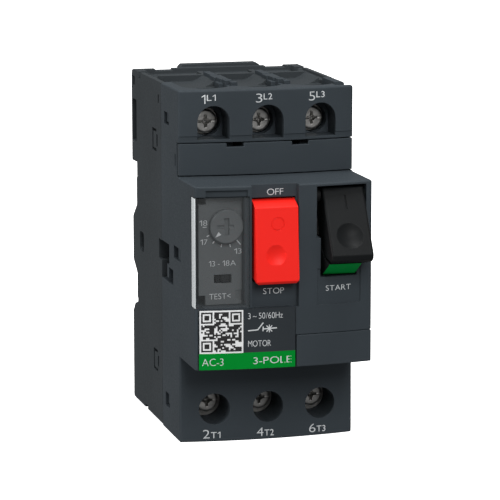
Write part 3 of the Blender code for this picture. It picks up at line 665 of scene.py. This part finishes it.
def base_gutters(base):
    """Troughs and gutters in the top, the latch channel and the notches of the outer edges."""
    front = SPLIT_Y - 1.0
    trough = rounded([(-12.8, FAR_Z), (-12.8, 41.6, 1.0), (-8.6, 41.0, 2.0), (-5.5, 42.8, 2.0),
                      (-4.5, FAR_Z)])
    cut(base, *[prism(trough, "X", (pole - POCKET_HALF, pole + POCKET_HALF)) for pole in POLES])
    cut(base, *at_poles(POCKET_HALF, (-18.9, -5.5), (-FAR_Z, -40.6)))
    gutter = rounded([(-6.5, FAR_Z), (-6.5, 43.0), (-3.4, 41.6, 1.5), (0.4, 41.4, 0.8), (1.6, 43.0, 0.8),
                      (1.6, FAR_Z)])
    cut(base, prism(gutter, "X", (-20.0, 20.0)))
    cut(base, box((-20.0, 20.0), (-6.5, -1.2), (-FAR_Z, -41.2)))
    cut(base, *at_poles(4.2, (-13.2, -9.0), (22.0, 26.0)), *at_poles(4.2, (-13.2, -9.0), (-26.0, -22.0)))
    cut(base, box((-19.4, 19.4), (front, -17.0), (-10.4, 20.5)))
    cut(base, box((-7.4, 7.4), (0.4, 7.0), (-FAR_Z, -16.0)))
    add(base, box((-2.3, 2.3), (-1.0, 3.3), (-36.4, -33.2)))
    cut(base, box((-16.9, -12.1), (0.5, 7.0), (43.8, FAR_Z)), box((13.0, 18.5), (0.5, 7.0), (43.8, FAR_Z)))
    cut(base, *both_sides((18.0, 24.0), (-5.4, -2.7), (42.6, FAR_Z)))
    cut(base, *both_sides((19.6, 21.3), (front, -5.6), (43.7, FAR_Z)))
    cut(base, *both_sides((18.0, 24.0), (-11.4, -8.4), (-FAR_Z, -43.2)))


def base_side_details(base):
    """Snap windows, rear grooves and slots in both side walls of the base."""
    deep = (21.2, 24.0)
    for low, high in ((26.1, 31.8), (-31.4, -25.8)):
        cut(base, *both_sides(deep, (-20.0, -18.7), (low, high)))
        cut(base, *both_sides(deep, (-23.4, -19.5), (high - 0.7, high)),
            *both_sides(deep, (-23.4, -19.5), (low, low + 0.7)))
        cut(base, *both_sides(deep, (-24.7, -23.3), (low + 1.3, high - 1.3)))
    cut(base, *both_sides(deep, (-0.3, 4.6), (25.6, 36.6)))
    cut(base, *both_sides(deep, (1.6, 4.0), (40.2, 42.6)))
    cut(base, *both_sides(deep, (-26.4, -25.2), (38.9, 41.0)))
    cut(base, *[prism(rounded(rectangle((-8.0, -3.2), (-2.8, 2.4)), 1.2), "X", x)
                for x in ((21.2, 24.0), (-24.0, -21.2))])
    cut(base, *both_sides((22.2, 24.0), (SPLIT_Y - 1.0, SPLIT_Y + 0.35), (30.0, 39.0)))
    cut(base, *both_sides((22.2, 24.0), (SPLIT_Y - 1.0, SPLIT_Y + 0.3), (-39.0, -32.0)))
    cut(base, *both_sides((18.0, 24.0), (SPLIT_Y - 1.0, -25.5), (-1.1, 4.0)))


# --- Covers and label ---------------------------------------------------------------------------
def blank_panel():
    """Snap-in panel under the upper terminals, with its two screwdriver slots."""
    panel = make("blank_panel", prism(
        bowed_sheet(BLOCK_Y, (-22.35, 22.35), PANEL_T), "Z", PANEL_Z))
    cut(panel, *[box(x, (-55.0, -40.0), (30.25, 33.0)) for x in PANEL_SLOTS])
    return place(soften(panel, 0.18), "casing", "case_front", "upper_blank_panel")


def aux_cover():
    """Blank over the auxiliary contact bay."""
    cover = make("aux_cover", prism(
        bowed_sheet(MID_Y, (AUX_LEFT, 22.4), 1.6, -0.12), "Z", (MID_BOTTOM, AUX_TOP)))
    return place(soften(cover, 0.25), "casing", "case_front", "aux_blank_cover")


def on_crown(corner_y, depth=0.0):
    """Y of the printed surface at any x."""
    return lambda x: crown_y(corner_y, x) + depth


def flat_at(y):
    """Y of a flat printed surface."""
    return lambda x: y


def draped(meshes, surface):
    """Lay flat print, drawn in X and Z with its thickness on Y, on a surface."""
    whole = merged(meshes)
    for vertex in whole.vertices:
        x, y = vertex.co.x / MM, vertex.co.y / MM
        vertex.co.y = (surface(x) - INK / 2 + y * INK) * MM
    return whole


def glyph(letter, weight):
    """One character in font units with its left edge at 0, its thickness from -0.5 to 0.5 on Y."""
    if letter == "1":
        shape = [(0.19, 0.0), (0.27, 0.0), (0.27, 0.69), (0.2, 0.69), (0.0, 0.54), (0.0, 0.45), (0.19, 0.58)]
        mesh = prism([(u / MM, v / MM) for u, v in shape], "Y", (-0.5 / MM, 0.5 / MM))
        return mesh, 0.27
    curve = bpy.data.curves.new("lettering", "FONT")
    curve.body = letter
    curve.extrude = 0.1
    curve.offset = weight
    curve.resolution_u = 5
    holder = make("lettering", curve)
    graph = bpy.context.evaluated_depsgraph_get()
    mesh = bpy.data.meshes.new_from_object(holder.evaluated_get(graph))
    bpy.data.objects.remove(holder, do_unlink=True)
    left = min(v.co.x for v in mesh.vertices)
    for vertex in mesh.vertices:
        vertex.co = (vertex.co.x - left, -0.5 if vertex.co.z > 0 else 0.5, vertex.co.y)
    return mesh, max(v.co.x for v in mesh.vertices)


def lettering(text, x, z, weight=-0.012):
    """Print that fills the box between x and z limits; its thickness runs from -0.5 to 0.5 on Y."""
    pen, parts = 0.0, []
    for letter in text:
        if letter == " ":
            pen += 0.22
            continue
        mesh, width = glyph(letter, weight)
        mesh.transform(Matrix.Translation((pen, 0.0, 0.0)))
        parts.append(mesh)
        pen += width + 0.1
    whole = merged(parts)
    us = [v.co.x for v in whole.vertices]
    vs = [v.co.z for v in whole.vertices]
    left, low = min(us), min(vs)
    width, height = max(us) - left, max(vs) - low
    for vertex in whole.vertices:
        u = (vertex.co.x - left) / width
        v = (vertex.co.z - low) / height
        vertex.co = Vector((x[0] + u * (x[1] - x[0]), vertex.co.y, z[0] + v * (z[1] - z[0]))) * MM
    return whole


def heading(degrees):
    """Unit vector at an angle."""
    angle = math.radians(degrees)
    return Vector((math.cos(angle), math.sin(angle)))


def patch(points):
    """A flat printed shape from its front outline (X, Z)."""
    return prism(points, "Y", (-0.5, 0.5))


def stroke(start, end, width):
    """A printed line."""
    a, b = Vector(start), Vector(end)
    side = Vector((a.y - b.y, b.x - a.x)).normalized() * width / 2
    return patch([tuple(a + side), tuple(b + side), tuple(b - side), tuple(a - side)])


def printed(name, meshes, surface, look, body="casing", slot="label_film"):
    """A layer of print as one piece."""
    return place(make(name, draped(meshes, surface)), body, look, slot=slot)


def terminal_marks():
    """Numbers and letters of the six terminals."""
    marks = []
    for x, number, letter in ((-16.75, "1", "L1"), (-3.15, "3", "L2"), (10.6, "5", "L3")):
        wide = 0.95 if number == "1" else 1.6
        marks += [lettering(number, (x, x + wide), (41.15, 43.35)),
                  lettering(letter, (x + wide + 0.35, x + wide + 2.55), (41.85, 43.35), 0.0)]
    for x, number, letter in ((-16.75, "2", "T1"), (-3.0, "4", "T2"), (10.85, "6", "T3")):
        marks += [lettering(number, (x, x + 1.7), (-43.6, -41.4)),
                  lettering(letter, (x + 2.0, x + 4.4), (-43.6, -42.0), 0.0)]
    printed("terminal_marks", marks, on_crown(BLOCK_Y), "ink_white", slot="case_front")


def button_marks():
    """Words beside the two push-buttons."""
    channel = [lettering("OFF", (-4.3, -0.2), (20.25, 21.8)), lettering("STOP", (-5.3, 0.0), (-4.25, -2.8))]
    printed("channel_marks", channel, flat_at(CHANNEL_FLOOR), "ink_white", slot="case_front")
    printed("start_mark", [lettering("START", (10.3, 16.9), (-3.95, -2.65))],
            on_crown(MID_Y, START_PAD), "ink_white", slot="case_front")


# Circuit symbol of a breaker: start, end and width of each line.
SWITCH_SYMBOL = (
    ((-9.5, -12.9), (-7.1, -12.75), 0.28),
    ((-7.15, -12.8), (-5.7, -11.0), 0.28),
    ((-5.9, -12.6), (-2.3, -12.45), 0.28),
    ((-5.8, -13.15), (-5.75, -12.0), 0.28),
    ((-4.9, -13.3), (-3.5, -11.8), 0.24),
    ((-3.5, -13.3), (-4.9, -11.8), 0.24),
    ((-4.2, -13.5), (-4.2, -11.6), 0.2),
)


def nameplate():
    """Dark film with a green band, a made-up matrix pattern and a switch symbol."""
    film = prism(bowed_sheet(MID_Y, (-21.6, 2.42), 0.3, LABEL_DEPTH), "Z", (-22.45, LABEL_TOP))
    place(soften(make("nameplate_film", film), 0.0), "casing", "label_film", "nameplate")
    surface = on_crown(MID_Y, LABEL_DEPTH)
    band = prism(bowed_sheet(MID_Y, (-21.55, 2.38), 0.08, LABEL_DEPTH - INK), "Z", (-22.42, -18.35))
    place(make("label_band", band), "casing", "label_green", slot="label_film")
    symbol = [stroke(*line) for line in SWITCH_SYMBOL]
    words = [lettering("3 ~ 50/60Hz", (-9.5, -0.8), (-10.0, -8.5)),
             lettering("MOTOR", (-9.5, -3.8), (-16.9, -15.4)),
             lettering("AC-3", (-20.8, -15.6), (-21.4, -19.6)),
             lettering("3-POLE", (-8.2, 1.4), (-21.3, -19.6), -0.006)]
    printed("label_words", symbol + words, surface, "ink_white")
    matrix_pattern()


def matrix_pattern():
    """A square of random modules with three plain corner squares; it encodes nothing."""
    left, top, side = -21.4, -7.65, 10.7
    count = 25                 # modules along a side
    margin = 0.4
    size = (side - 2 * margin) / count
    ground = prism(bowed_sheet(MID_Y, (left, left + side), 0.08, LABEL_DEPTH - INK), "Z", (top - side, top))
    place(make("pattern_ground", ground), "casing", "code_white", slot="label_film")
    dice = random.Random(7)

    def at_corner(row, column):
        return (row < 8 or row > count - 9) and column < 8 or row < 8 and column > count - 9

    def corner_square(row, column):
        r, c = min(row, count - 1 - row), min(column, count - 1 - column)
        ring = min(r, c)
        return r < 7 and c < 7 and (ring == 0 or max(r, c) == 6 or 2 <= r <= 4 and 2 <= c <= 4)

    dark = []
    for row in range(count):
        column = 0
        while column < count:
            start = column
            while column < count and (corner_square(row, column) if at_corner(row, column)
                                      else dice.random() < 0.5):
                column += 1
            if column > start:
                x, z = left + margin + start * size, top - margin - row * size
                dark.append(patch(rectangle((x, x + (column - start) * size), (z - size, z))))
            else:
                column += 1
    printed("pattern_modules", dark, on_crown(MID_Y, LABEL_DEPTH - INK), "code_black")


# --- Setting window -----------------------------------------------------------------------------
def scale_plate():
    """Scale plate with its bores, numbers and ticks."""
    outline = [(PLATE_X[0], -4.4), (-19.3, -4.4), (-19.3, -6.8), (PLATE_X[1], -6.8), (PLATE_X[1], 19.8),
               (-19.1, 19.8), (-19.1, 18.2), (PLATE_X[0], 18.2)]
    plate = make("scale_plate", prism(outline, "Y", PLATE_Y))
    cut(plate, rod("Y", DIAL, 2.2, (-65.0, -58.0)), box(SLOT[:2], (-65.0, -58.0), SLOT[2:]))
    cut(plate, prism(rounded(rectangle((-11.8, -9.6), (-5.9, -3.3)), 0.4), "Y", (-64.0, -61.5)))
    place(soften(plate, 0.1), "casing", "scale_plate", "dial_plate")
    ticks = [stroke((-19.9, 12.6), (-18.9, 12.6), 0.2)]
    for i, reach in enumerate((5.3, 5.3, 5.3, 5.4, 6.1), start=1):
        way = heading(182.0 + 25.3 * i)
        ticks.append(stroke(Vector(DIAL) + way * 4.6, Vector(DIAL) + way * reach, 0.24))
    words = [lettering("18", (-20.75, -18.75), (12.95, 14.3)), lettering("17", (-20.5, -18.7), (8.25, 9.6)),
             lettering("13", (-12.0, -10.15), (5.7, 7.0)), lettering("13 - 18A", (-18.4, -11.6), (2.8, 4.15)),
             lettering("TEST<", (-18.3, -12.9), (-5.4, -4.0))]
    printed("scale_marks", ticks + words, flat_at(PLATE_Y[0]), "ink_white", slot="scale_plate")


def setting_dial():
    """Round dial with a cross slot and a printed pointer."""
    profile = [(0.01, -63.4), (DIAL_R - 0.45, -63.4), (DIAL_R - 0.2, -63.32), (DIAL_R - 0.05, -63.15),
               (DIAL_R, -62.9), (DIAL_R, -62.2), (1.8, -62.2), (1.8, -55.0), (0.01, -55.0)]
    x, z = DIAL
    dial = make("dial_knob", turned("Y", DIAL, profile, 64))
    cut(dial, box((x - 0.62, x + 0.62), (-66.0, -62.7), (z - 2.15, z + 2.1)))
    cut(dial, box((x - 2.3, x + 1.8), (-66.0, -62.95), (z - 0.4, z + 0.4)))
    place(soften(dial, 0.1), "dial", "scale_plate", "setting_dial")
    way = heading(221)
    side = Vector((-way.y, way.x)) * 0.5
    tip, root = Vector(DIAL) + way * 3.85, Vector(DIAL) + way * 2.35
    printed("dial_pointer", [patch([tuple(tip), tuple(root + side), tuple(root - side)])],
            flat_at(-63.4), "ink_white", body="dial", slot="scale_plate")


def test_slider():
    """Slider behind the test slot."""
    slider = make("test_tongue", box((-15.3, -13.5), (-62.0, -60.0), (-1.25, 0.35)))
    flange = box((-16.3, -12.5), (-60.5, -59.7), (-1.85, 0.95))
    stem = box((-15.0, -13.8), (-60.1, -29.3), (-0.95, 0.05))
    add(slider, flange, stem)
    place(soften(slider, 0.12), "test", "inner_plastic", "test_slider")


def window_cover():
    """Clear hinged window: bowed front, side flange with a round knuckle, and two hinge nubs."""
    right, low, high = WINDOW
    hinge = (-21.9, -61.1)
    front = front_line(MID_Y, (-HALF_WIDTH, right))
    front[-1] = (*front[-1], 0.35)
    inner = [(x, crown_y(MID_Y, x) + 1.0) for x in (FLANGE_X, -18.6, -15.4, -12.3, right)]
    plan = rounded(front + arc(hinge, 0.6, 180, 90, 5) + [(FLANGE_X, hinge[1] + 0.4)] + inner)
    window = make("clear_window", prism(plan, "Z", (low, high), (0.15, 0.15)))
    add(window, rod("Z", hinge, 0.28, (low - 0.7, high + 0.7), 16))
    soften(window, 0.0)
    place(window, "window", "clear_cover", "window_cover")
    # The flange faces that look left get the pale material: a painted highlight, not a colour of the clear
    # plastic.
    window.data.materials.append(LOOKS["clear_edge_painted_highlight"])
    for face in window.data.polygons:
        if face.center.x < -21.9 * MM and face.normal.x < -0.5:
            face.material_index = 1


# --- Push-buttons -------------------------------------------------------------------------------
def stop_button():
    """Red rocker with a thumb dimple and a ring mark."""
    profile = rounded([(-63.5, 19.2, 0.3), (-67.0, 17.6, 0.5), (-67.4, 10.0), (-68.3, -0.6, 0.5),
                       (-67.7, -1.35, 0.4), (-66.4, -1.2, 0.3), (-66.0, -0.3), (-59.8, -0.3), (-59.5, 19.3)])
    button = make("stop_rocker", prism(profile, "X", (STOP_X[0] - 1.0, STOP_X[1] + 1.0)))
    left, right = STOP_X
    outline = rounded([(left, -1.5, 1.6), (right, -1.5, 1.6), (right, 21.0), (left, 21.0)], steps=6)
    combine(button, "INTERSECT", [prism(outline, "Y", (-75.0, -55.0))])
    cut(button, ball((-2.9, -72.85, 6.3), 5.75, 56))
    cut(button, hoop("Y", (-2.35, 13.5), (1.5, 1.62), (-70.0, -67.08)))
    cut(button, rod("X", STOP_PIVOT, 1.25, (-12.0, 8.0), 24))
    place(soften(button, 0.1), "stop", "stop_red", "stop_button")


def on_start_face(along, depth=0.0):
    """Y and Z of a point on the START button's slanted face, measured down from its top edge."""
    down = Vector((-0.5218, -0.8531))
    inward = Vector((0.8531, -0.5218))
    point = Vector((-63.4, 21.4)) + down * along + inward * depth
    return point.x, point.y


def start_button():
    """Black rocker that stands out while the breaker is off."""
    profile = rounded([(-63.4, 21.4, 0.4), (-72.85, 5.95, 1.0), (-72.6, 4.6, 0.6), (-71.4, 3.8, 0.5),
                       (-66.5, 4.6), (-60.2, 9.5), (-59.0, 21.4)])
    button = make("start_rocker", prism(profile, "X", START_X, (0.5, 0.5)))
    y, z = on_start_face(13.0, -5.05)
    cut(button, ball((15.1, y, z), 6.1, 36))
    groove = [on_start_face(along, depth) for along, depth in rectangle((2.3, 6.0), (-1.0, 0.3))]
    cut(button, prism(groove, "X", (15.15, 15.5)))
    cut(button, rod("X", START_PIVOT, 1.25, (6.0, 24.0), 24))
    place(soften(button, 0.12), "start", "start_black", "start_button")


def start_boss():
    """Dark boss that carries the left end of the START pin."""
    boss = make("start_boss", rod("X", START_PIVOT, 1.9, (7.3, 9.65), 32, (0.0, 0.2)))
    place(soften(boss, 0.0), "casing", "inner_plastic")


def start_skirt():
    """Green skirt under the START button."""
    profile = rounded([(-70.4, 3.45, 0.3), (-64.3, -0.05, 0.2), (-61.5, -0.05), (-60.0, 9.1), (-66.3, 4.2)])
    skirt = make("green_skirt", prism(profile, "X", SKIRT_X, (0.15, 0.15)))
    place(soften(skirt, 0.0), "start", "skirt_green", "start_skirt")
    # The skirt's side and upward faces get the black material as painted shade; only its front face shows
    # green.
    skirt.data.materials.append(LOOKS["start_black"])
    for face in skirt.data.polygons:
        if abs(face.normal.x) > 0.2 or face.normal.z > 0.5:
            face.material_index = 1


# --- Terminals ----------------------------------------------------------------------------------
def terminal_screw(tag, pole, z):
    """Captive screw: cheese head with a combined cross and slot."""
    under = HEAD_Y + 2.2
    end = -26.0
    profile = [(0.01, HEAD_Y), (2.3, HEAD_Y), (2.75, HEAD_Y + 0.12), (2.95, HEAD_Y + 0.4),
               (2.95, under - 0.15), (2.8, under), (1.95, under), (1.95, end - 0.6), (1.5, end), (0.01, end)]
    screw = make(f"screw_{tag}", turned("Y", (pole, z), profile, 48))
    cut(screw, box((pole - 3.2, pole + 3.2), (HEAD_Y - 1.0, HEAD_Y + 0.35), (z - 0.32, z + 0.32)))
    half, reach = 0.34, 1.75
    wedge = [(-reach, HEAD_Y - 0.5), (reach, HEAD_Y - 0.5), (reach * 0.86, HEAD_Y + 0.4),
             (0.45, HEAD_Y + 1.5), (-0.45, HEAD_Y + 1.5), (-reach * 0.86, HEAD_Y + 0.4)]
    cut(screw, prism([(pole + u, y) for u, y in wedge], "Z", (z - half, z + half)))
    cut(screw, prism([(y, z + u) for u, y in wedge], "X", (pole - half, pole + half)))
    cut(screw, turned("Y", (pole, z), [(1.0, HEAD_Y - 0.5), (0.85, HEAD_Y + 0.3), (0.2, HEAD_Y + 1.6)], 16))
    place(soften(screw, 0.07), f"screw_{tag}", "zinc_steel", f"terminal_screw_{tag}")


def terminal_clamp(tag, pole, z):
    """Pressure plate with two bent lips."""
    clamp = make(f"clamp_{tag}", box((pole - 4.4, pole + 4.4), (-37.7, -36.7), (z - 4.6, z + 4.6)))
    add(clamp, box((pole - 4.5, pole - 3.7), (-37.6, -35.4), (z - 4.4, z + 4.4)),
        box((pole + 3.7, pole + 4.5), (-37.6, -35.4), (z - 4.4, z + 4.4)))
    cut(clamp, rod("Y", (pole, z), 2.3, (-40.0, -34.0), 32))
    place(soften(clamp, 0.12), f"clamp_{tag}", "zinc_steel", f"terminal_clamp_{tag}")


# --- Whole object -------------------------------------------------------------------------------
def paint_frame():
    """Give every CAD node that stays visible its finish, with softened edges."""
    finishes = {row["node"]: row["material_slot"] for row in frame["record"]["subparts"]}
    for name, node in frame["nodes"].items():
        if node.hide_render:
            continue
        paint(node, finishes[name])
        bevel = node.modifiers.new("edges", "BEVEL")
        bevel.width = 0.08 * MM
        bevel.segments = 2
        bevel.limit_method = "ANGLE"
        bevel.angle_limit = math.radians(40)


def breaker():
    """All the pieces."""
    front_housing()
    housing_posts()
    rear_base()
    blank_panel()
    aux_cover()
    nameplate()
    scale_plate()
    setting_dial()
    test_slider()
    window_cover()
    stop_button()
    start_button()
    start_boss()
    start_skirt()
    terminal_marks()
    button_marks()
    for number, pole in enumerate(POLES, start=1):
        for row, z in (("l", TERMINAL_Z), ("t", -TERMINAL_Z)):
            terminal_screw(f"{row}{number}", pole, z)
            terminal_clamp(f"{row}{number}", pole, z)
    paint_frame()


# --- Studio ---------------------------------------------------------------------------------------
def pale_floor():
    """A white floor that the camera sees but that throws no light on the piece."""
    bm = bmesh.new()
    bmesh.ops.create_grid(bm, x_segments=1, y_segments=1, size=3.0)
    floor = make("studio_floor", finished(bm))
    floor.location.z = -HALF_HEIGHT * MM
    material, tree, shader = new_material("studio_floor")
    tree.links.new(ramp(tree, noise(tree, 3.0), 0.88, 0.92), shader.inputs["Base Color"])
    shader.inputs["Emission Color"].default_value = (1.0, 1.0, 1.0, 1.0)
    shader.inputs["Emission Strength"].default_value = 1.0
    shader.inputs["Roughness"].default_value = 0.9
    floor.data.materials.append(material)
    floor.visible_diffuse = False
    floor.visible_glossy = False


# Name, place in metres, size in metres and power in watts of each lamp.
LAMPS = (
    ("key_lamp", (0.0, -0.8, 0.5), 0.45, 6.6),
    ("top_lamp", (0.0, -0.1, 0.9), 0.5, 7.4),
    ("side_lamp", (-0.9, -0.1, 0.2), 0.4, 5.0),
)


def studio():
    """Pale floor, white surroundings and soft lamps."""
    pale_floor()
    world = bpy.data.worlds.new("studio")
    world.use_nodes = True
    background = world.node_tree.nodes["Background"]
    background.inputs["Color"].default_value = (1.0, 1.0, 1.0, 1.0)
    background.inputs["Strength"].default_value = 0.375
    bpy.context.scene.world = world
    for name, spot, size, watts in LAMPS:
        lamp = bpy.data.lights.new(name, "AREA")
        lamp.size = size
        lamp.energy = watts
        obj = bpy.data.objects.new(name, lamp)
        obj.location = spot
        obj.rotation_euler = (-Vector(spot)).to_track_quat("-Z", "Y").to_euler()
        bpy.context.scene.collection.objects.link(obj)
    bpy.context.scene.view_settings.view_transform = "Standard"


# Where the camera stands, fitted to the object's straight edges: turned to the left of the front,
# raised above level, tilted by the roll, and at a distance from the point it looks at.
CAMERA_TURN = math.radians(14.818)
CAMERA_RISE = math.radians(10.016)
CAMERA_ROLL = math.radians(-0.068)
CAMERA_TARGET = (-1.168, -36.089, 1.737)
CAMERA_DISTANCE = 724.58
CAMERA_LENS = 205.14
SENSOR_WIDTH = 36.0


def camera():
    """Camera at the photograph's viewing angle: from the front left, a little above."""
    turn, rise, roll = CAMERA_TURN, CAMERA_RISE, CAMERA_ROLL
    away = Vector((-math.sin(turn) * math.cos(rise), -math.cos(turn) * math.cos(rise), math.sin(rise)))
    level = Vector((math.cos(turn), -math.sin(turn), 0.0))
    above = away.cross(level)
    right = level * math.cos(roll) + above * math.sin(roll)
    up = above * math.cos(roll) - level * math.sin(roll)
    data = bpy.data.cameras.new("camera")
    data.sensor_width = SENSOR_WIDTH
    data.lens = CAMERA_LENS
    obj = bpy.data.objects.new("camera", data)
    eye = (Vector(CAMERA_TARGET) + away * CAMERA_DISTANCE) * MM
    obj.matrix_world = Matrix.Translation(eye) @ Matrix((
        (right.x, up.x, away.x, 0.0), (right.y, up.y, away.y, 0.0), (right.z, up.z, away.z, 0.0),
        (0.0, 0.0, 0.0, 1.0)))
    bpy.context.scene.collection.objects.link(obj)
    bpy.context.scene.camera = obj


breaker()
studio()
camera()
